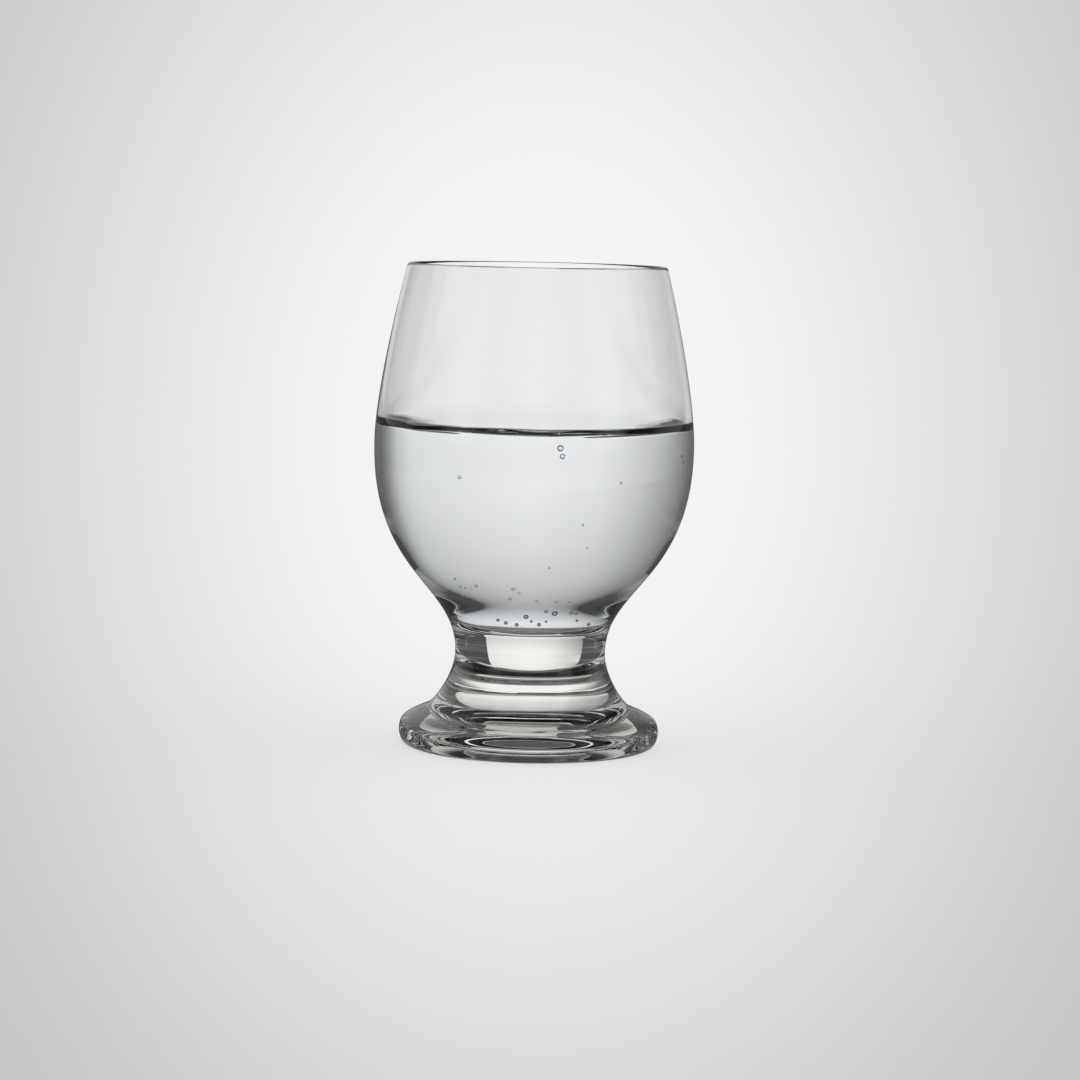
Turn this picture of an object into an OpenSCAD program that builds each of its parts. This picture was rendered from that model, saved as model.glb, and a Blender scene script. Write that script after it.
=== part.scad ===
// Short-stemmed water goblet, in millimetres, standing on z = 0 with its axis on +Z.
// A blown bowl, a solid stem and a pressed foot meet at two flat fused seams, and the bowl holds water.

/* [Bowl] */
// Height of the lip above the table
lip_z = 115; // [106:0.5:126]
// Outside diameter at the mouth
mouth_d = 62; // [56:0.5:68]
// Lean of the wall at the mouth, in degrees from upright
mouth_lean = 14; // [8:1:20]
// Outside diameter at the belly, the widest place
belly_d = 76.4; // [70:0.2:84]
// Height of the belly above the table
belly_z = 72; // [65:0.5:79]
// Wall at the lip, which is rounded over
lip_wall = 1.5; // [1.2:0.1:2.2]
// Wall at the belly
belly_wall = 2; // [1.5:0.1:2.8]
// Glass between the bowl's flat floor and the stem
floor_wall = 4; // [3:0.1:5.5]
// Glass across from the edge of the flat floor to the waist
heel_wall = 8; // [6:0.1:10]

/* [Stem] */
// Diameter of the waist, the narrowest place
waist_d = 36; // [32:0.2:40]
// Height of the waist above the table
waist_z = 22.2; // [20:0.2:24.4]
// Height of the stem between its two fused seams
stem_h = 9.5; // [8:0.1:11]

/* [Foot] */
// Height of the foot up to its fused seam
foot_h = 15; // [13:0.1:17]
// Diameter at the widest place of the edge
foot_d = 62.4; // [58:0.2:70]
// Height of the widest place of the edge
edge_z = 3.2; // [2.4:0.1:4]
// Diameter where the flare turns over into the brim
brim_d = 49.8; // [45:0.2:54]
// Height of that turn
brim_z = 8.8; // [7.5:0.1:10]
// Lean of the surface at that turn, in degrees from upright
brim_lean = 67; // [50:1:75]
// Inset of the standing ring from the widest place of the edge
ring_inset = 2; // [1.5:0.1:2.6]
// Width of the flat standing ring
ring_w = 1.8; // [1.4:0.1:3]
// Height of the domed recess under the foot, at its middle
recess_h = 7; // [5.5:0.1:8]

/* [Water] */
// Depth of the water over the bowl's flat floor
water_depth = 48.2; // [20:0.2:75]

/* [Hidden] */

$fn = 128;
// Pieces of each curve, and of the rounded lip
curve_steps = 28;
lip_steps = 14;
// How far a cutting shape runs past what it cuts
overrun = 1;

// Heights of the two fused seams, the bowl's floor and the water
low_seam_z = foot_h;
high_seam_z = foot_h + stem_h;
floor_z = high_seam_z + floor_wall;
water_z = floor_z + water_depth;

// Radii that the inside and the underside follow
floor_r = waist_d / 2 - heel_wall;
belly_in_r = belly_d / 2 - belly_wall;
ring_r = foot_d / 2 - ring_inset;
recess_r = ring_r - ring_w;

// How far each curve's handles reach, as shares of the height or width that the curve spans
mouth_shares = [0.28, 0.25];
shoulder_shares = [0.64, 0.33];
inside_shares = [0.55, 0.35];
waist_share = 0.41;
flare_share = 0.15;
brim_shares = [0.65, 0.55];
edge_share = 0.55;
recess_shares = [0.37, 0.76];

// Stations of the profile, as [radius, height]
lip_centre = [mouth_d / 2 - lip_wall / 2, lip_z - lip_wall / 2];
lip_side = [cos(mouth_lean), sin(mouth_lean)] * lip_wall / 2;
belly = [belly_d / 2, belly_z];
belly_in = [belly_in_r, belly_z];
floor_edge = [floor_r, floor_z];
waist = [waist_d / 2, waist_z];
brim = [brim_d / 2, brim_z];
edge = [foot_d / 2, edge_z];
ring_out = [ring_r, 0];
ring_in = [recess_r, 0];
recess_top = [0, recess_h];

// Directions down the wall at the mouth and down the surface at the brim
down = [0, -1];
mouth_down = [sin(mouth_lean), -cos(mouth_lean)];
brim_down = [sin(brim_lean), -cos(brim_lean)];

// Points of a cubic curve from a to d, which leaves a towards b and reaches d from c
function curve(a, b, c, d) = [
    for (i = [0 : curve_steps])
        let (t = i / curve_steps, u = 1 - t)
            u * u * u * a + 3 * u * u * t * b + 3 * u * t * t * c + t * t * t * d
];

// A list of points without its first, for a curve that goes on from another's end
function past_first(points) = [for (i = [1 : len(points) - 1]) points[i]];

// Wall from the lip's side to the belly, outside or inside
function wall_curve(start, finish) =
    let (drop = start[1] - finish[1])
        curve(start, start + mouth_down * drop * mouth_shares[0], finish - down * drop * mouth_shares[1], finish);

// Lip: half a turn from the inside wall over the top to the outside wall
function lip_curve() = [
    for (i = [1 : lip_steps - 1])
        let (turn = mouth_lean + 180 * (1 - i / lip_steps))
            lip_centre + [cos(turn), sin(turn)] * lip_wall / 2
];

// Inside of the bowl, from the middle of its floor up to the lip
function inside_points() =
    let (
        drop = belly_z - floor_z,
        spread = belly_in_r - floor_r,
        low = curve(floor_edge, floor_edge + [spread * inside_shares[1], 0],
                    belly_in + down * drop * inside_shares[0], belly_in),
        high = wall_curve(lip_centre - lip_side, belly_in)
    )
        concat([[0, floor_z]], low, [for (i = [len(high) - 2 : -1 : 0]) high[i]]);

// Outside of the glass, from the lip down to the standing ring
function outside_points() =
    let (
        bowl_drop = belly_z - waist_z,
        flare_drop = waist_z - brim_z,
        brim_drop = brim_z - edge_z,
        flare_reach = norm(waist - brim) * flare_share,
        brim_reach = norm(brim - edge) * brim_shares[0]
    )
        concat(
            wall_curve(lip_centre + lip_side, belly),
            past_first(curve(belly, belly + down * bowl_drop * shoulder_shares[0],
                             waist - down * bowl_drop * shoulder_shares[1], waist)),
            past_first(curve(waist, waist + down * flare_drop * waist_share,
                             brim - brim_down * flare_reach, brim)),
            past_first(curve(brim, brim + brim_down * brim_reach,
                             edge - down * brim_drop * brim_shares[1], edge)),
            past_first(curve(edge, edge + down * edge_z * edge_share,
                             ring_out + [(foot_d / 2 - ring_r) * edge_share, 0], ring_out))
        );

// Domed recess of the underside, from the standing ring in to the middle
function recess_points() =
    curve(ring_in, ring_in - down * recess_h * recess_shares[0],
          recess_top + [recess_r * recess_shares[1], 0], recess_top);

// Half section of all the glass
module glass_section() {
    polygon(concat(inside_points(), lip_curve(), outside_points(), recess_points()));
}

// Half section of the space inside the bowl
module inside_section() {
    polygon(concat(inside_points(), [[0, lip_z]]));
}

// The part of a half section between two heights
module between(low, high) {
    intersection() {
        children();
        translate([0, low]) square([belly_d + foot_d, high - low]);
    }
}

// Blown bowl, from its rounded lip to the flat seam on the stem
module bowl() {
    color([0.86, 0.89, 0.89, 0.4])
        rotate_extrude() between(high_seam_z, lip_z + overrun) glass_section();
}

// Solid stem at the waist, fused between the bowl and the foot
module stem() {
    color([0.72, 0.77, 0.75, 0.5])
        rotate_extrude() between(low_seam_z, high_seam_z) glass_section();
}

// Pressed foot with a heavy rounded edge, a flat standing ring and a recess under it
module foot() {
    color([0.55, 0.6, 0.57, 0.6])
        rotate_extrude() between(-overrun, low_seam_z) glass_section();
}

// Water at rest in the bowl
module water() {
    color([0.75, 0.8, 0.87, 0.6])
        rotate_extrude() between(floor_z - overrun, water_z) inside_section();
}

bowl();
stem();
foot();
water();
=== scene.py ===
import math
import bpy
import numpy as np
from mathutils import Matrix


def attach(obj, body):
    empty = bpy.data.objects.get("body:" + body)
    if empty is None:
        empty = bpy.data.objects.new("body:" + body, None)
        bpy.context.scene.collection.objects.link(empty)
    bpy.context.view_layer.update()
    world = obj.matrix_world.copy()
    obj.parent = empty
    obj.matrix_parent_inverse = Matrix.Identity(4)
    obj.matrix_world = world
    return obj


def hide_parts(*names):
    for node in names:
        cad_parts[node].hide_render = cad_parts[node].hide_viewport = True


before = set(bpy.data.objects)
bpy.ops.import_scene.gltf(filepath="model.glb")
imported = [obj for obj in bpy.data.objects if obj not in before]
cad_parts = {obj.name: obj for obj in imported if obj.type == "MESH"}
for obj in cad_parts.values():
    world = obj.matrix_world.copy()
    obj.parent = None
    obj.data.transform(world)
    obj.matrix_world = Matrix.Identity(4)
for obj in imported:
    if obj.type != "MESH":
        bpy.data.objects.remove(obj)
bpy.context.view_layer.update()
scene = bpy.context.scene
mm = 0.001  # all sizes below are in millimetres

print("goblet: frame loaded")


# sRGB hex to the linear colour that the shaders take
def toLinear(hexColour):
    srgb = np.array([int(hexColour[i:i + 2], 16) for i in (1, 3, 5)]) / 255
    linear = np.where(srgb <= 0.04045, srgb / 12.92, ((srgb + 0.055) / 1.055) ** 2.4)
    return (*linear.tolist(), 1.0)


# adds one node with its settings, socket values, links and, on a colour ramp, its stops as (place, level);
# a socket goes by its name, or by its number where several have one name
def addNode(tree, kind, settings=None, values=None, links=None, stops=None):
    node = tree.nodes.new(kind)
    for key, value in (settings or {}).items():
        setattr(node, key, value)
    for key, value in (values or {}).items():
        node.inputs[key].default_value = value
    for key, source in (links or {}).items():
        tree.links.new(source, node.inputs[key])
    if stops:
        elements = node.color_ramp.elements
        while len(elements) < len(stops):
            elements.new(1.0)
        for element, (place, level) in zip(elements, stops):
            element.position = place
            element.color = (level, level, level, 1)
    return node


# output of a math node, whose inputs are numbers or outputs of other nodes
def addMath(tree, operation, *inputs):
    values = {}
    links = {}
    for number, entry in enumerate(inputs):
        group = values if isinstance(entry, (int, float)) else links
        group[number] = entry
    return addNode(tree, "ShaderNodeMath", {"operation": operation}, values, links).outputs[0]


# output of a ramp with stops as (measure, level), where a share of 0 is the low measure and 1 the high one
def addRamp(tree, share, stops, low, high):
    placed = [((measure - low) / (high - low), level) for measure, level in stops]
    return addNode(tree, "ShaderNodeValToRGB", links={0: share}, stops=placed).outputs[0]


# output of a range that goes from one level to another between two distances
def addRange(tree, distance, ends, levels, kind):
    values = {1: ends[0] * mm, 2: ends[1] * mm, 3: levels[0], 4: levels[1]}
    return addNode(tree, "ShaderNodeMapRange", {"interpolation_type": kind}, values, {0: distance}).outputs[0]


# a material with no nodes yet, and its node tree
def newMaterial(name):
    material = bpy.data.materials.new(name)
    material.use_nodes = True
    material.node_tree.nodes.clear()
    return material, material.node_tree


# the section of the glass, with the same stations as the solids; shares say how far a curve's handles reach
section = {
    "lipHeight": 115, "mouthWidth": 62, "mouthLean": 14, "lipWall": 1.5,
    "bellyWidth": 76.4, "bellyHeight": 72, "bellyWall": 2,
    "waistWidth": 36, "waistHeight": 22.2, "heelWall": 8, "floorWall": 4,
    "stemHeight": 9.5, "footHeight": 15, "footWidth": 62.4, "edgeHeight": 3.2,
    "brimWidth": 49.8, "brimHeight": 8.8, "brimLean": 67,
    "ringInset": 2, "ringWidth": 1.8, "recessHeight": 7,
    "mouthShares": (0.28, 0.25), "shoulderShares": (0.64, 0.33), "insideShares": (0.55, 0.35),
    "waistShare": 0.41, "flareShare": 0.15, "brimShares": (0.65, 0.55),
    "edgeShare": 0.55, "recessShares": (0.37, 0.76),
}
lowSeam = section["footHeight"]
highSeam = lowSeam + section["stemHeight"]
bowlFloor = highSeam + section["floorWall"]
seamGap = 0.01  # hairline between two fused faces, so no ray is caught between them
curveSteps = 160  # points on each curve of the section
lipSteps = 25  # points over the lip
around = 288  # points in each ring
angles = np.arange(around) / around * 2 * np.pi
sharpAngle = 50  # degrees between two faces from which their edge stays sharp
down = np.array([0.0, -1.0])
out = np.array([1.0, 0.0])


# cubic curve that leaves a towards b and reaches d from c: (1-t)^3 a + 3(1-t)^2 t b + 3(1-t) t^2 c + t^3 d
def curve(a, b, c, d):
    t = np.linspace(0, 1, curveSteps)[:, None]
    u = 1 - t
    return u ** 3 * a + 3 * u * u * t * b + 3 * u * t * t * c + t ** 3 * d


# direction down a surface that leans outward from upright by an angle in degrees
def leaning(angle):
    return np.array([math.sin(math.radians(angle)), -math.cos(math.radians(angle))])


# wall between the lip and the belly: leaves the lip along its lean and meets the belly upright
def wallLine(start, finish):
    drop = start[1] - finish[1]
    return curve(start, start + leaning(section["mouthLean"]) * drop * section["mouthShares"][0],
                 finish - down * drop * section["mouthShares"][1], finish)


# the lines of the section as [radius, height]: inside up to the lip, half a turn over the lip,
# outside down to the standing ring, and recess from the ring to the axis
def sectionLines(s):
    lipRadius = s["lipWall"] / 2
    lipCentre = np.array([s["mouthWidth"] / 2 - lipRadius, s["lipHeight"] - lipRadius])
    lean = math.radians(s["mouthLean"])
    lipSide = np.array([math.cos(lean), math.sin(lean)]) * lipRadius
    belly = np.array([s["bellyWidth"] / 2, s["bellyHeight"]])
    bellyIn = belly - out * s["bellyWall"]
    waist = np.array([s["waistWidth"] / 2, s["waistHeight"]])
    floorEdge = np.array([waist[0] - s["heelWall"], bowlFloor])
    brim = np.array([s["brimWidth"] / 2, s["brimHeight"]])
    edge = np.array([s["footWidth"] / 2, s["edgeHeight"]])
    ringOut = np.array([edge[0] - s["ringInset"], 0.0])
    ringIn = ringOut - out * s["ringWidth"]
    recessTop = np.array([0.0, s["recessHeight"]])
    insideRise = belly[1] - bowlFloor
    insideSpread = bellyIn[0] - floorEdge[0]
    insideLine = np.concatenate([
        curve(floorEdge, floorEdge + out * insideSpread * s["insideShares"][1],
              bellyIn + down * insideRise * s["insideShares"][0], bellyIn)[:-1],
        wallLine(lipCentre - lipSide, bellyIn)[::-1],
    ])
    lipTurns = np.radians(s["mouthLean"] + 180 * (1 - np.linspace(0, 1, lipSteps)))[:, None]
    lipLine = lipCentre + np.concatenate([np.cos(lipTurns), np.sin(lipTurns)], 1) * lipRadius
    bowlDrop = belly[1] - waist[1]
    flareDrop = waist[1] - brim[1]
    brimDrop = brim[1] - edge[1]
    brimDown = leaning(s["brimLean"])
    flareReach = np.linalg.norm(waist - brim) * s["flareShare"]
    brimReach = np.linalg.norm(brim - edge) * s["brimShares"][0]
    outsideLine = np.concatenate([
        wallLine(lipCentre + lipSide, belly)[:-1],
        curve(belly, belly + down * bowlDrop * s["shoulderShares"][0],
              waist - down * bowlDrop * s["shoulderShares"][1], waist)[:-1],
        curve(waist, waist + down * flareDrop * s["waistShare"], brim - brimDown * flareReach, brim)[:-1],
        curve(brim, brim + brimDown * brimReach, edge - down * brimDrop * s["brimShares"][1], edge)[:-1],
        curve(edge, edge + down * edge[1] * s["edgeShare"],
              ringOut + out * s["ringInset"] * s["edgeShare"], ringOut),
    ])
    recessLine = curve(ringIn, ringIn - down * s["recessHeight"] * s["recessShares"][0],
                       recessTop + out * ringIn[0] * s["recessShares"][1], recessTop)
    return insideLine, lipLine, outsideLine, recessLine


# length along a line of points, from its start
def runLength(line):
    return np.concatenate([[0], np.cumsum(np.linalg.norm(np.diff(line, axis=0), axis=1))])


# evenly spaced points on a line that only rises or only falls, between two heights
def stretch(line, start, stop, count):
    run = runLength(line)
    upward = 1 if line[-1, 1] > line[0, 1] else -1
    ends = np.interp(np.array([start, stop]) * upward, line[:, 1] * upward, run)
    at = np.linspace(ends[0], ends[1], count)
    return np.stack([np.interp(at, run, line[:, 0]), np.interp(at, run, line[:, 1])], 1)


# evenly spaced points from the axis straight out to a point, without the point
def fromAxis(point, count):
    return np.linspace([0, point[1]], point, count + 2)[:-1]


# the same points the other way, from a point in to the axis
def toAxis(point, count):
    return fromAxis(point, count)[::-1]


# smooth share from 0 at low to 1 at high: 3 t^2 - 2 t^3
def fade(value, low, high):
    t = np.clip((value - low) / (high - low), 0, 1)
    return t * t * (3 - 2 * t)


# sum of waves round the axis, each sin(count * angle + 2 pi * along / length + phase), as large as one wave
# on average
def waves(along, counts, lengths, seed):
    phases = np.random.default_rng(seed).uniform(0, 2 * np.pi, len(counts))
    single = [np.sin(count * angles + 2 * np.pi * along / length + phase)
              for count, length, phase in zip(counts, lengths, phases)]
    return sum(single) / math.sqrt(len(single))


# Surface of revolution: every point of a line from axis to axis goes round as a ring, moved along the line's
# own normal by moves, and the two ends close in poles. Gives points, faces and each face's material slot.
def turned(line, moves, slots):
    tangent = np.gradient(line, axis=0)
    tangent /= np.linalg.norm(tangent, axis=1)[:, None]
    normal = np.stack([-tangent[:, 1], tangent[:, 0]], 1)[1:-1]
    ring = line[1:-1]
    move = moves[1:-1]
    radii = ring[:, 0:1] + normal[:, 0:1] * move
    heights = ring[:, 1:2] + normal[:, 1:2] * move
    grid = np.stack([radii * np.cos(angles), radii * np.sin(angles), heights], -1).reshape(-1, 3)
    points = np.concatenate([grid, [[0, 0, line[0, 1]], [0, 0, line[-1, 1]]]])
    here = np.arange(around)
    after = (here + 1) % around
    low = np.arange(len(ring) - 1)[:, None] * around
    quads = np.stack([low + here, low + around + here, low + around + after, low + after], -1).reshape(-1, 4)
    startPole = len(grid)
    endPole = startPole + 1
    lastRing = startPole - around
    startFan = np.stack([np.full(around, startPole), here, after], 1)
    endFan = np.stack([np.full(around, endPole), lastRing + after, lastRing + here], 1)
    faces = startFan.tolist() + quads.tolist() + endFan.tolist()
    return points, faces, np.repeat(slots, around)


# one smooth mesh object with its materials, at the origin
def makePiece(name, points, faces, slots, materials):
    mesh = bpy.data.meshes.new(name)
    mesh.from_pydata((points * mm).tolist(), [], faces)
    for material in materials:
        mesh.materials.append(material)
    mesh.polygons.foreach_set("material_index", np.asarray(slots, dtype=np.int32))
    mesh.polygons.foreach_set("use_smooth", np.ones(len(faces), dtype=bool))
    mesh.update()
    mesh.set_sharp_from_angle(angle=math.radians(sharpAngle))
    piece = bpy.data.objects.new(name, mesh)
    scene.collection.objects.link(piece)
    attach(piece, "root")
    return piece


# Clear bodies: light goes in and out by the surface's index, and the colour deepens where the surface turns
# away, as a longer way through the body does. A ripple is the height of a faint unevenness.
def clearMaterial(name, index, faceColour, edgeColour, ripple=0.0, scale=100.0):
    material, tree = newMaterial(name)
    facing = addNode(tree, "ShaderNodeLayerWeight", values={"Blend": 0.25})
    tint = addNode(tree, "ShaderNodeMix", {"data_type": "RGBA"},
                   {6: toLinear(faceColour), 7: toLinear(edgeColour)}, {0: facing.outputs["Facing"]})
    coordinates = addNode(tree, "ShaderNodeTexCoord")
    grain = addNode(tree, "ShaderNodeTexNoise", values={"Scale": scale, "Detail": 2.0},
                    links={"Vector": coordinates.outputs["Object"]})
    bump = addNode(tree, "ShaderNodeBump", values={"Strength": 1.0, "Distance": ripple * mm},
                   links={"Height": grain.outputs[0]})
    shader = addNode(tree, "ShaderNodeBsdfPrincipled",
                     values={"Roughness": 0.0, "IOR": index, "Transmission Weight": 1.0},
                     links={"Base Color": tint.outputs[2], "Normal": bump.outputs[0]})
    addNode(tree, "ShaderNodeOutputMaterial", links={"Surface": shader.outputs[0]})
    return material


# where glass and water meet, the glass has the index of the pair, and the water and the seams bend nothing
glassIndex = 1.52
waterIndex = 1.333
pairIndex = glassIndex / waterIndex
blownGlass = clearMaterial("blownSodaLimeGlass", glassIndex, "#fafaf9", "#eceeea", ripple=0.002, scale=30)
pressedGlass = clearMaterial("pressedSodaLimeGlass", glassIndex, "#f9faf6", "#e9ebe3", ripple=0.001, scale=60)
wettedGlass = clearMaterial("wettedGlass", pairIndex, "#f4f6f9", "#eaeef4", ripple=0.002, scale=30)
fusedSeam = clearMaterial("fusedSeam", 1.0, "#ffffff", "#ffffff")
openWater = clearMaterial("waterSurface", waterIndex, "#fafbfd", "#f4f7fb", ripple=0.01, scale=60)
heldWater = clearMaterial("waterAtGlass", 1.0, "#ffffff", "#ffffff")
print("goblet: materials made")

inside, lip, outside, recess = sectionLines(section)

# how far the glass is from true: the size of the waves on the bowl, on the flare and under the foot, and of
# the mould's rings on the flare, and the heights between which each comes or goes, under the foot the radii
uneven = {
    "bowl": 0.012, "bowlCounts": (2, 3, 5, 7, 9, 11), "bowlLengths": (160, -120, 210, -90, 140, -180),
    "bowlSeed": 3, "bowlComes": (12, 19), "bowlGoes": (100, 113),
    "flare": 0.004, "flareCounts": (3, -4, 6, -7, 9, 11), "flareLengths": (13, 9, 11, 8, 10, 7),
    "flareSeed": 5, "flareComes": (0, 2.5),
    "rings": 0.004, "ringLength": 2.3, "ringsCome": (9, 11), "ringsGo": (16, 18.5),
    "under": 0.006, "underCounts": (2, -3, 5, -6, 8, 4), "underLengths": (9, 11, 7, 8, 10, 6),
    "underSeed": 11, "underComes": (0, 7), "underGoes": (22, 27),
}


# waves of the outside at each height: the bowl's own, which give way to the flare's, with fine rings there
def outsideMoves(line):
    z = line[:, 1:2]
    bowlWaves = waves(z, uneven["bowlCounts"], uneven["bowlLengths"], uneven["bowlSeed"])
    flareWaves = waves(z, uneven["flareCounts"], uneven["flareLengths"], uneven["flareSeed"])
    ringWaves = np.sin(2 * np.pi * z / uneven["ringLength"])
    onBowl = fade(z, *uneven["bowlComes"])
    bowlPart = uneven["bowl"] * bowlWaves * onBowl * (1 - fade(z, *uneven["bowlGoes"]))
    flarePart = uneven["flare"] * flareWaves * (1 - onBowl) * fade(z, *uneven["flareComes"])
    ringPart = uneven["rings"] * ringWaves * fade(z, *uneven["ringsCome"]) * (1 - fade(z, *uneven["ringsGo"]))
    return bowlPart + flarePart + ringPart


# waves of the recess at each radius, none at the middle and near the ring
def underMoves(line):
    radius = line[:, 0:1]
    underWaves = waves(radius, uneven["underCounts"], uneven["underLengths"], uneven["underSeed"])
    shown = fade(radius, *uneven["underComes"]) * (1 - fade(radius, *uneven["underGoes"]))
    return uneven["under"] * underWaves * shown


# a line that stays true
def noMoves(line):
    return np.zeros((len(line), around))


# the level of the water and the height at which it meets the wall, its gap from the glass, its capillary
# length, the waves of its rise by shares of that rise, and the points on each stretch
waterShape = {
    "level": 75.4, "contact": 78.4, "gap": 0.03, "capillary": 2.7,
    "unevenRise": 0.12, "riseCounts": (1, 2, 3, 5, 8, 13), "riseSeed": 17,
    "riseComes": (0.02, 0.4), "riseGoes": (0.7, 1),
    "flatSteps": 12, "climbSteps": 70, "firstClimb": 0.004, "climbPower": 1.5,
    "wallSteps": 110, "baseSteps": 10,
}

# bowl: floor, wetted wall, dry wall, lip, outside, seam face; a row of faces has the number of its material
bowlSteps = {"floor": 10, "wet": 90, "dry": 50, "outside": 150, "seam": 6}
floorRun = fromAxis(inside[0], bowlSteps["floor"])
wetWall = stretch(inside, bowlFloor, waterShape["contact"], bowlSteps["wet"])
dryWall = stretch(inside, waterShape["contact"], inside[-1, 1], bowlSteps["dry"])[1:]
lipRun = lip[1:-1]
bowlOutside = stretch(outside, section["lipHeight"], highSeam + seamGap, bowlSteps["outside"])
bowlSeam = toAxis(bowlOutside[-1], bowlSteps["seam"])
bowlLine = np.concatenate([floorRun, wetWall, dryWall, lipRun, bowlOutside, bowlSeam])
bowlMoves = np.concatenate([noMoves(floorRun), noMoves(wetWall), noMoves(dryWall), noMoves(lipRun),
                            outsideMoves(bowlOutside), noMoves(bowlSeam)])
wetCount = len(floorRun) + len(wetWall) - 1
dryCount = len(dryWall) + len(lipRun) + len(bowlOutside)
bowlSlots = [1] * wetCount + [0] * dryCount + [2] * len(bowlSeam)
bowl = makePiece("bowl", *turned(bowlLine, bowlMoves, bowlSlots), (blownGlass, wettedGlass, fusedSeam))
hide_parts("bowl")

# stem: seam face, waist, seam face
stemSteps = {"side": 60, "seam": 6}
stemSide = stretch(outside, highSeam, lowSeam, stemSteps["side"])
stemTop = fromAxis(stemSide[0], stemSteps["seam"])
stemEnd = toAxis(stemSide[-1], stemSteps["seam"])
stemLine = np.concatenate([stemTop, stemSide, stemEnd])
stemMoves = np.concatenate([noMoves(stemTop), outsideMoves(stemSide), noMoves(stemEnd)])
stemSlots = [1] * len(stemTop) + [0] * (len(stemSide) - 1) + [1] * len(stemEnd)
stem = makePiece("stem", *turned(stemLine, stemMoves, stemSlots), (pressedGlass, fusedSeam))
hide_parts("stem")

# foot: seam face, flare and edge, standing ring, recess
footSteps = {"side": 150, "seam": 6, "ring": 6, "recess": 80}
footSide = stretch(outside, lowSeam - seamGap, 0, footSteps["side"])
footTop = fromAxis(footSide[0], footSteps["seam"])
footRing = np.linspace(footSide[-1], recess[0], footSteps["ring"] + 2)[1:-1]
footRecess = stretch(recess, 0, section["recessHeight"], footSteps["recess"])
footLine = np.concatenate([footTop, footSide, footRing, footRecess])
footMoves = np.concatenate([noMoves(footTop), outsideMoves(footSide), noMoves(footRing),
                            underMoves(footRecess)])
footSlots = [1] * len(footTop) + [0] * (len(footLine) - 1 - len(footTop))
foot = makePiece("foot", *turned(footLine, footMoves, footSlots), (pressedGlass, fusedSeam))
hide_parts("foot")

# Water: its top is level and climbs the wall as a liquid does: at height h over the level its distance from
# the wall is c * (arcosh(2 c / h) - arcosh(2 c / rise)) + sqrt(4 c^2 - rise^2) - sqrt(4 c^2 - h^2), with
# capillary length c. The middle of the top is flat.
wetLine = stretch(inside, waterShape["contact"], bowlFloor, waterShape["wallSteps"])
heldWall = wetLine - out * waterShape["gap"]
heldWall[:, 1] = np.maximum(heldWall[:, 1], bowlFloor + waterShape["gap"])
waterBase = toAxis(heldWall[-1], waterShape["baseSteps"])
waterRise = waterShape["contact"] - waterShape["level"]
capillary = waterShape["capillary"]
flatSteps = waterShape["flatSteps"]
climbing = np.linspace(waterShape["firstClimb"], 1, waterShape["climbSteps"])[:-1] ** waterShape["climbPower"]
climb = np.concatenate([np.zeros(flatSteps), climbing])
raised = np.maximum(climb, climbing[0]) * waterRise
fromWall = (capillary * (np.arccosh(2 * capillary / raised) - np.arccosh(2 * capillary / waterRise))
            + math.sqrt(4 * capillary ** 2 - waterRise ** 2) - np.sqrt(4 * capillary ** 2 - raised ** 2))
topRadius = heldWall[0, 0] - fromWall
topRadius[:flatSteps] = np.linspace(0, topRadius[flatSteps], flatSteps + 1)[:-1]
waterTop = np.stack([topRadius, waterShape["level"] + waterRise * climb], 1)
waterLine = np.concatenate([waterTop, heldWall, waterBase])
riseLengths = [1] * len(waterShape["riseCounts"])
riseWaves = waterShape["unevenRise"] * waves(0, waterShape["riseCounts"], riseLengths, waterShape["riseSeed"])
climbShare = climb[:, None]
riseShown = fade(climbShare, *waterShape["riseComes"]) * (1 - fade(climbShare, *waterShape["riseGoes"]))
topMoves = riseShown * riseWaves
waterMoves = np.concatenate([topMoves, noMoves(heldWall), noMoves(waterBase)])
lineSlots = [0] * len(waterTop) + [1] * (len(heldWall) + len(waterBase) - 1)
waterPoints, waterFaces, waterSlots = turned(waterLine, -waterMoves, lineSlots)

# Bubbles are round hollows in the water, as (across, height, diameter), and hang just inside the wall nearest
# the viewer. All are one ball of rings between two poles, with its faces turned inward.
bubbles = [
    (5.9, 74.0, 1.5), (6.4, 72.2, 1.3), (-16.4, 66.7, 0.9), (19.6, 66.0, 0.7), (32.6, 71.0, 1.0),
    (33.0, 69.7, 0.8), (11.3, 56.6, 0.6), (12.4, 51.2, 0.5), (4.0, 46.4, 0.6), (-17.2, 42.5, 0.7),
    (-16.0, 40.6, 0.6), (-14.9, 40.4, 0.6), (-13.5, 40.4, 0.5), (-12.4, 41.2, 0.9), (-4.0, 40.9, 0.9),
    (-2.6, 39.8, 0.6), (-4.7, 38.2, 0.8), (1.4, 37.9, 0.7), (5.8, 37.6, 0.6), (8.7, 37.6, 0.6),
    (3.5, 35.2, 1.0), (5.4, 34.7, 1.4), (9.1, 34.7, 1.0), (10.2, 34.4, 0.8), (-1.0, 33.7, 1.2),
    (10.3, 32.6, 0.7), (-7.2, 32.5, 0.8), (-5.4, 31.9, 0.9), (-3.0, 31.5, 0.9), (0.2, 32.5, 0.7),
    (1.9, 31.7, 0.9), (3.5, 32.5, 0.6), (12.5, 31.4, 0.8),
]
ballShape = {"rings": 11, "round": 20, "wallGap": 0.5, "sizeShare": 0.9}
ballRound = ballShape["round"]
ballTilts, ballTurns = np.meshgrid(np.linspace(0, np.pi, ballShape["rings"] + 2)[1:-1],
                                   np.arange(ballRound) / ballRound * 2 * np.pi, indexing="ij")
ballGrid = np.stack([np.sin(ballTilts) * np.cos(ballTurns), np.sin(ballTilts) * np.sin(ballTurns),
                     np.cos(ballTilts)], -1).reshape(-1, 3)
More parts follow.
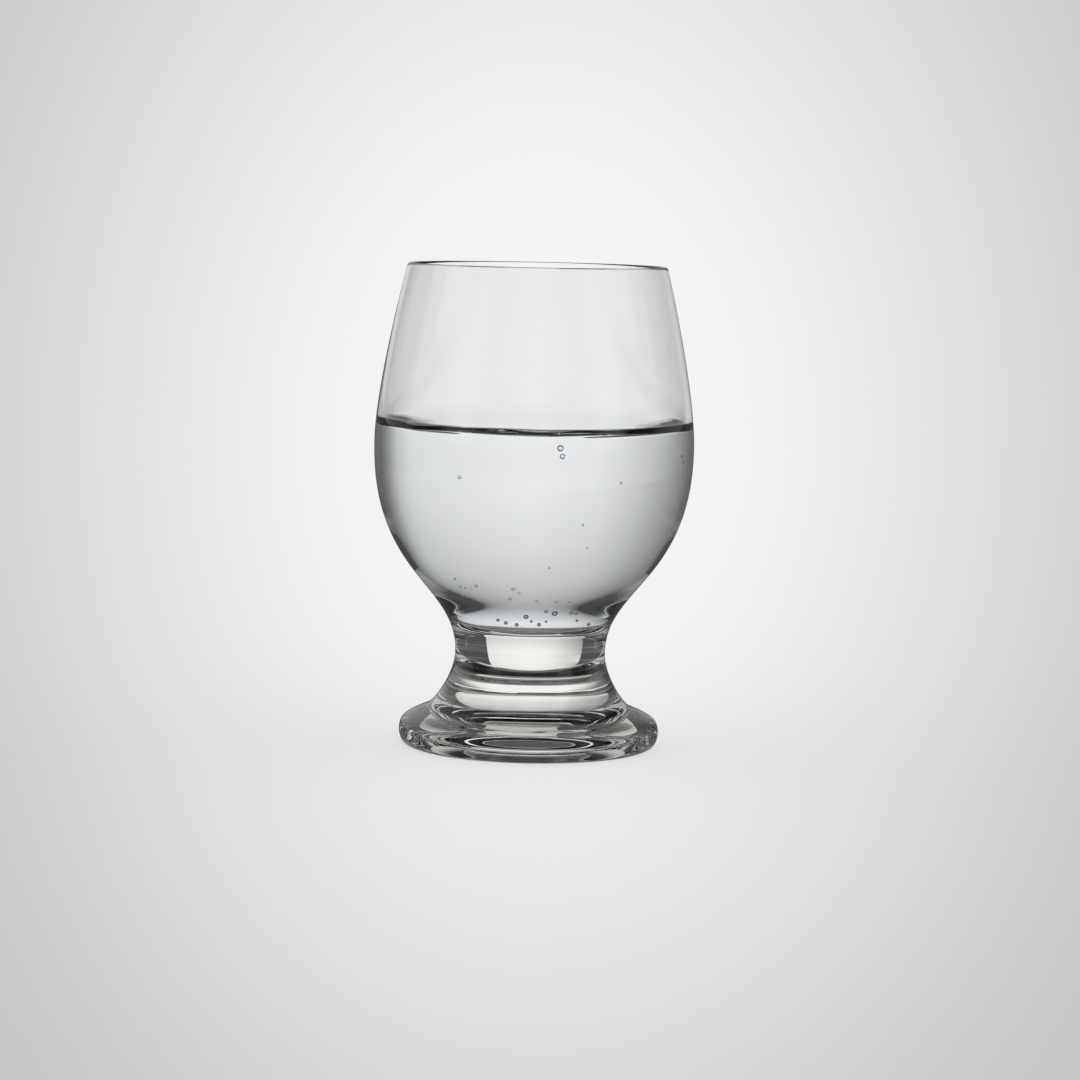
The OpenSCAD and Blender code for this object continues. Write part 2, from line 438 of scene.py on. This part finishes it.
ball = np.concatenate([ballGrid, [[0, 0, 1], [0, 0, -1]]])
ballHere = np.arange(ballRound)
ballAfter = (ballHere + 1) % ballRound
ballLow = np.arange(ballShape["rings"] - 1)[:, None] * ballRound
ballHigh = ballLow + ballRound
ballQuads = np.stack([ballLow + ballHere, ballLow + ballAfter, ballHigh + ballAfter, ballHigh + ballHere],
                     -1).reshape(-1, 4)
ballPole = len(ballGrid)
ballLast = ballPole - ballRound
ballCaps = np.concatenate([
    np.stack([np.full(ballRound, ballPole), ballAfter, ballHere], 1),
    np.stack([np.full(ballRound, ballPole + 1), ballLast + ballHere, ballLast + ballAfter], 1),
])
for bubbleAcross, bubbleHeight, bubbleSize in bubbles:
    wallRadius = np.interp(bubbleHeight, inside[:, 1], inside[:, 0])
    bubbleRadius = wallRadius - ballShape["wallGap"] - ballShape["sizeShare"] * bubbleSize
    bubbleDepth = math.sqrt(max(bubbleRadius ** 2 - bubbleAcross ** 2, 0))
    bubbleCentre = [bubbleAcross, -bubbleDepth, bubbleHeight]
    firstPoint = len(waterPoints)
    waterPoints = np.concatenate([waterPoints, ball * bubbleSize / 2 + bubbleCentre])
    waterFaces += (ballQuads + firstPoint).tolist() + (ballCaps + firstPoint).tolist()
    waterSlots = np.concatenate([waterSlots, np.zeros(len(ballQuads) + len(ballCaps))])
water = makePiece("water", waterPoints, waterFaces, waterSlots, (openWater, heldWater))
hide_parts("water")
print("goblet: pieces built")

# Studio. The camera sees a pale sweep with a painted pool of light: its grey falls off with the degrees from
# the middle of the pool. Light through the glass sees windows by bearing, 0 straight behind and to the right
# positive: bright behind, at the sides and in front, with a dark gap left and right between them, and by
# elevation a dark ceiling. It sees painted light and shadow on the floor: glowing strips by bearing, a
# glowing front part and a glowing ring round the glass, and painted shadow close to the foot and under it.
# Reflections see mirror levels by bearing, and the floor as a painted dim reflection.
studio = {
    "poolFrom": (1.85, -794.3, 132.5), "poolDrop": 0.0732, "poolSquash": 0.74, "poolSpan": 16,
    "poolStops": [(0, 246), (3.1, 243), (4.1, 240), (5.2, 235), (6.7, 228), (8.9, 214), (10.5, 206),
                  (14.0, 192)],
    "windowStops": [(-180, 0.72), (-76, 0.7), (-70, 0.04), (-60, 0.05), (-52, 0.13), (-45, 0.26), (-36, 0.40),
                    (-28, 0.53), (-12, 0.88), (0, 0.97), (28, 0.86), (34, 0.70), (39, 0.44), (44, 0.24),
                    (50, 0.08), (70, 0.05), (76, 0.7), (180, 0.72)],
    "liftStops": [(-90, 1.0), (0, 1.0), (8, 0.9), (22, 0.76), (35, 0.55), (46, 0.06), (90, 0.05)],
    "mirrorStops": [(-180, 0.25), (-140, 0.25), (-132, 0.6), (-118, 0.6), (-108, 0.1), (-88, 0.1), (-76, 0.5),
                    (-20, 0.55), (0, 0.5), (12, 0.35), (22, 0.06), (40, 0.08), (55, 0.5), (76, 0.5),
                    (88, 0.1), (108, 0.1), (118, 0.8), (132, 0.8), (140, 0.25), (180, 0.25)],
    # painted light on the floor for light through the glass: strips, a front part and a ring
    "stripStart": 23,
    "stripStops": [(-180, 0.03), (-70, 0.03), (-60, 0.04), (-52, 0.12), (-45, 0.26), (-36, 0.43), (-28, 0.6),
                   (-10, 0.97), (0, 1.0), (26, 0.9), (34, 0.68), (39, 0.42), (44, 0.22), (50, 0.07),
                   (70, 0.03), (180, 0.03)],
    "sideStops": [(-180, 0.03), (-20, 0.05), (-14, 0.8), (0, 1.0), (14, 0.8), (20, 0.05), (180, 0.03)],
    "frontStart": (-60, -120), "frontLevels": (0.0, 0.75),
    "nearStops": [(0, 0), (45, 0), (62, 0.75), (150, 0.75), (200, 0.45), (300, 0.3), (400, 0)],
    "nearSpan": 400,
    # painted shadow on the floor under and beside the foot, seen through the glass
    "footShadowReach": (36.5, 39), "footShadowLevels": (0.2, 1.0),
    # floorMirror is the painted dim reflection of the floor
    "floorFade": (150, 1200), "floorLevels": (1.0, 0.97), "floorMirror": 0.12, "floorShadow": 0.3,
    "floorReach": 60000, "floorDrop": 0.05,
}


# painted pool of light: how bright the camera sees the sweep, a level that falls with the angle from the
# pool's middle, less fast up and down
def paintedPoolNodes(tree, direction):
    squash = studio["poolSquash"]
    eased = addNode(tree, "ShaderNodeVectorMath", {"operation": "MULTIPLY_ADD"},
                    {1: (1, 1, squash), 2: (0, 0, studio["poolDrop"] * squash)}, {0: direction})
    toward = addNode(tree, "ShaderNodeVectorMath", {"operation": "NORMALIZE"}, {}, {0: eased.outputs[0]})
    cosine = addNode(tree, "ShaderNodeVectorMath", {"operation": "DOT_PRODUCT"}, {1: (0, 1, 0)},
                     {0: toward.outputs[0]})
    fromMiddle = addMath(tree, "ARCCOSINE", cosine.outputs["Value"])
    poolShare = addMath(tree, "MULTIPLY", fromMiddle, math.degrees(1) / studio["poolSpan"])
    stops = [(degrees, toLinear("#" + 3 * f"{grey:02x}")[0]) for degrees, grey in studio["poolStops"]]
    return addRamp(tree, poolShare, stops, 0, studio["poolSpan"])


# floor: paper that takes light, which the camera sees glow at the painted pool's own level with a share of
# real shadow
floorMesh = bpy.data.meshes.new("floor")
floorReach = studio["floorReach"] * mm
floorCorners = [(across * floorReach, back * floorReach, -studio["floorDrop"] * mm)
                for across, back in ((-1, -1), (1, -1), (1, 1), (-1, 1))]
floorMesh.from_pydata(floorCorners, [], [(0, 1, 2, 3)])
floor = bpy.data.objects.new("floor", floorMesh)
scene.collection.objects.link(floor)
sweepPaper, floorTree = newMaterial("sweepPaper")
floorPlace = addNode(floorTree, "ShaderNodeNewGeometry").outputs["Position"]
fromPool = addNode(floorTree, "ShaderNodeVectorMath", {"operation": "SUBTRACT"},
                   {1: [value * mm for value in studio["poolFrom"]]}, {0: floorPlace})
poolWay = addNode(floorTree, "ShaderNodeVectorMath", {"operation": "NORMALIZE"}, {}, {0: fromPool.outputs[0]})
pool = paintedPoolNodes(floorTree, poolWay.outputs[0])
paper = addNode(floorTree, "ShaderNodeBsdfDiffuse", links={"Color": pool})
# painted pool of light: the floor glows with the pool's grey
bright = addNode(floorTree, "ShaderNodeEmission", links={"Color": pool})

# painted light, seen only through the glass: glowing strips that fan out behind and in front, and left and
# right, from a line on each side of the glass
signed = addNode(floorTree, "ShaderNodeSeparateXYZ", links={0: floorPlace})
strips = []
for acrossAxis, alongAxis, stripStops in ((0, 1, studio["stripStops"]), (1, 0, studio["sideStops"])):
    along = addMath(floorTree, "ABSOLUTE", signed.outputs[alongAxis])
    past = addMath(floorTree, "SUBTRACT", along, studio["stripStart"] * mm)
    stripAngle = addMath(floorTree, "ARCTAN2", signed.outputs[acrossAxis], past)
    stripShare = addMath(floorTree, "MULTIPLY_ADD", stripAngle, 0.5 / math.pi, 0.5)
    strips.append(addRamp(floorTree, stripShare, stripStops, -180, 180))
front = addRange(floorTree, signed.outputs[1], studio["frontStart"], studio["frontLevels"], "SMOOTHSTEP")

# painted light and shadow by the distance from the axis: a glowing ring round the glass, a painted shadow
# under the foot and a slow fall of the level
flat = addNode(floorTree, "ShaderNodeVectorMath", {"operation": "MULTIPLY"}, {1: (1, 1, 0)}, {0: floorPlace})
length = addNode(floorTree, "ShaderNodeVectorMath", {"operation": "LENGTH"}, {}, {0: flat.outputs[0]})
away = length.outputs["Value"]
nearShare = addMath(floorTree, "DIVIDE", away, studio["nearSpan"] * mm)
near = addRamp(floorTree, nearShare, studio["nearStops"], 0, studio["nearSpan"])
# painted shadow under the foot
under = addRange(floorTree, away, studio["footShadowReach"], studio["footShadowLevels"], "SMOOTHSTEP")
far = addRange(floorTree, away, studio["floorFade"], studio["floorLevels"], "LINEAR")
lightest = strips[0]
for pattern in (strips[1], front, near):
    lightest = addMath(floorTree, "MAXIMUM", lightest, pattern)
shade = addMath(floorTree, "MULTIPLY", under, far)
# painted light: the floor glows by the strips, front part and ring, with the painted shadow, for light
# through the glass
paintedFloorGlow = addNode(floorTree, "ShaderNodeEmission",
                    links={"Strength": addMath(floorTree, "MULTIPLY", lightest, shade)})
# painted reflection: reflections see the floor as a fixed dim glow
paintedDimReflection = addNode(floorTree, "ShaderNodeEmission", values={"Strength": studio["floorMirror"]})

# which of these a ray meets
floorPath = addNode(floorTree, "ShaderNodeLightPath")
# the camera sees 0.7 of the painted glow and 0.3 of lit paper, which keeps a faint real shadow
paintedGlowWithShadow = addNode(floorTree, "ShaderNodeMixShader", values={0: studio["floorShadow"]},
                   links={1: bright.outputs[0], 2: paper.outputs[0]})
floorRays = (("Is Camera Ray", paintedGlowWithShadow), ("Is Glossy Ray", paintedDimReflection), ("Is Transmission Ray", paintedFloorGlow))
floorShader = paper
for ray, met in floorRays:
    floorShader = addNode(floorTree, "ShaderNodeMixShader", links={
        0: floorPath.outputs[ray], 1: floorShader.outputs[0], 2: met.outputs[0]})
addNode(floorTree, "ShaderNodeOutputMaterial", links={"Surface": floorShader.outputs[0]})
floorMesh.materials.append(sweepPaper)

# dark cards low behind the foot, left and right of a gap and taller next to it, as set to darken the edges of
# glass: only light that has gone through the glass meets them
cards = {
    "back": 42, "inner": (-12, 8), "step": (-23, 21), "outer": (-60, 60),
    "tall": 40, "low": 24, "level": 0.08,
}
cardCorners = [(across * mm, cards["back"] * mm, up * mm)
               for inner, step, outer in zip(cards["inner"], cards["step"], cards["outer"])
               for across, up in ((inner, 0), (outer, 0), (outer, cards["low"]),
                                  (step, cards["low"]), (step, cards["tall"]), (inner, cards["tall"]))]
cardMesh = bpy.data.meshes.new("cards")
cardMesh.from_pydata(cardCorners, [], [(0, 1, 2, 3, 4, 5), (6, 7, 8, 9, 10, 11)])
cardPair = bpy.data.objects.new("cards", cardMesh)
scene.collection.objects.link(cardPair)
blackCard, cardTree = newMaterial("blackCard")
dark = addNode(cardTree, "ShaderNodeEmission", values={"Strength": cards["level"]})
unseen = addNode(cardTree, "ShaderNodeBsdfTransparent")
cardPath = addNode(cardTree, "ShaderNodeLightPath")
cardShader = addNode(cardTree, "ShaderNodeMixShader", links={
    0: cardPath.outputs["Is Transmission Ray"], 1: unseen.outputs[0], 2: dark.outputs[0]})
addNode(cardTree, "ShaderNodeOutputMaterial", links={"Surface": cardShader.outputs[0]})
cardMesh.materials.append(blackCard)

# world: plain white light on the paper, and the windows, mirror levels and painted pool of light for the
# other rays
world = bpy.data.worlds.new("studio")
scene.world = world
world.use_nodes = True
worldTree = world.node_tree
worldTree.nodes.clear()
way = addNode(worldTree, "ShaderNodeTexCoord").outputs["Generated"]
wayParts = addNode(worldTree, "ShaderNodeSeparateXYZ", links={0: way})
bearing = addMath(worldTree, "ARCTAN2", wayParts.outputs[0], wayParts.outputs[1])
bearingShare = addMath(worldTree, "MULTIPLY_ADD", bearing, 0.5 / math.pi, 0.5)
windows = addRamp(worldTree, bearingShare, studio["windowStops"], -180, 180)
elevation = addMath(worldTree, "ARCSINE", wayParts.outputs[2])
elevationShare = addMath(worldTree, "MULTIPLY_ADD", elevation, 1 / math.pi, 0.5)
ceiling = addRamp(worldTree, elevationShare, studio["liftStops"], -90, 90)
panes = addMath(worldTree, "MULTIPLY", windows, ceiling)
mirror = addRamp(worldTree, bearingShare, studio["mirrorStops"], -180, 180)
worldPath = addNode(worldTree, "ShaderNodeLightPath")
reflected = addNode(worldTree, "ShaderNodeMix", {}, {2: 1.0}, {
    0: worldPath.outputs["Is Glossy Ray"], 3: mirror})
refracted = addNode(worldTree, "ShaderNodeMix", {}, {}, {
    0: worldPath.outputs["Is Transmission Ray"], 2: reflected.outputs[0], 3: panes})
skyColour = addNode(worldTree, "ShaderNodeMix", {"data_type": "RGBA"}, {}, {
    0: worldPath.outputs["Is Camera Ray"], 6: refracted.outputs[0], 7: paintedPoolNodes(worldTree, way)})
sky = addNode(worldTree, "ShaderNodeBackground", links={"Color": skyColour.outputs[2]})
addNode(worldTree, "ShaderNodeOutputWorld", links={"Surface": sky.outputs[0]})
print("goblet: studio built")

# camera, with its clip distances in metres
cameraPlace = {
    "side": 1.85, "back": 794.3, "height": 132.5, "pitch": 5.986, "roll": 1.2,
    "lens": 111.07, "sensor": 36, "clip": (0.01, 200),
}
cameraLens = bpy.data.cameras.new("photoCamera")
cameraLens.sensor_width = cameraPlace["sensor"]
cameraLens.lens = cameraPlace["lens"]
cameraLens.clip_start, cameraLens.clip_end = cameraPlace["clip"]
camera = bpy.data.objects.new("photoCamera", cameraLens)
camera.matrix_world = (
    Matrix.Translation((cameraPlace["side"] * mm, -cameraPlace["back"] * mm, cameraPlace["height"] * mm))
    @ Matrix.Rotation(math.radians(90 - cameraPlace["pitch"]), 4, "X")
    @ Matrix.Rotation(math.radians(cameraPlace["roll"]), 4, "Z")
)
scene.collection.objects.link(camera)
scene.camera = camera

scene.view_settings.view_transform = "Standard"
# few turns of the light: what goes round and round in the thick foot is lost in real glass
lightTurns = 12
scene.cycles.max_bounces = lightTurns
scene.cycles.transmission_bounces = lightTurns
scene.cycles.glossy_bounces = lightTurns
scene.cycles.transparent_max_bounces = 40  # the cards let all other rays through

print("goblet: done")
